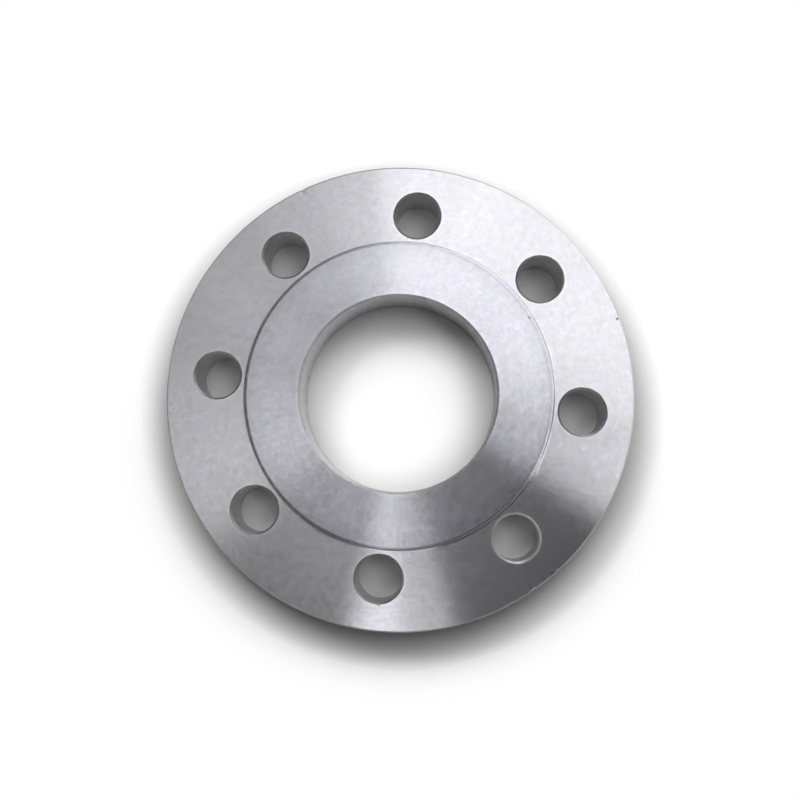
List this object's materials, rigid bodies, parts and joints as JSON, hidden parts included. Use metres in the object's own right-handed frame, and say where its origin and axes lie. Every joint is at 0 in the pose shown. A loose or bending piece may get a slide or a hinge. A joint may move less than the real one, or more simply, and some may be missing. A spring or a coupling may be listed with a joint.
{
  "type": "pipe flange",
  "caption": "Flat round steel pipe flange with a central bore, a low raised gasket face and a circle of bolt holes.",
  "frame": {"origin": "on the pipe axis, in the flat back face that the flange lies on", "axes": "+Z along the pipe axis, from the back face to the raised gasket face; X and Y are the centre lines that the bolt holes straddle"},
  "size_m": [0.185, 0.185, 0.02],
  "materials": {
    "turned_steel": "fine turned stainless steel, satin, with the tool marks running round the axis"
  },
  "bodies": {
    "root": {"flange": "turned_steel"}
  },
  "joints": []
}
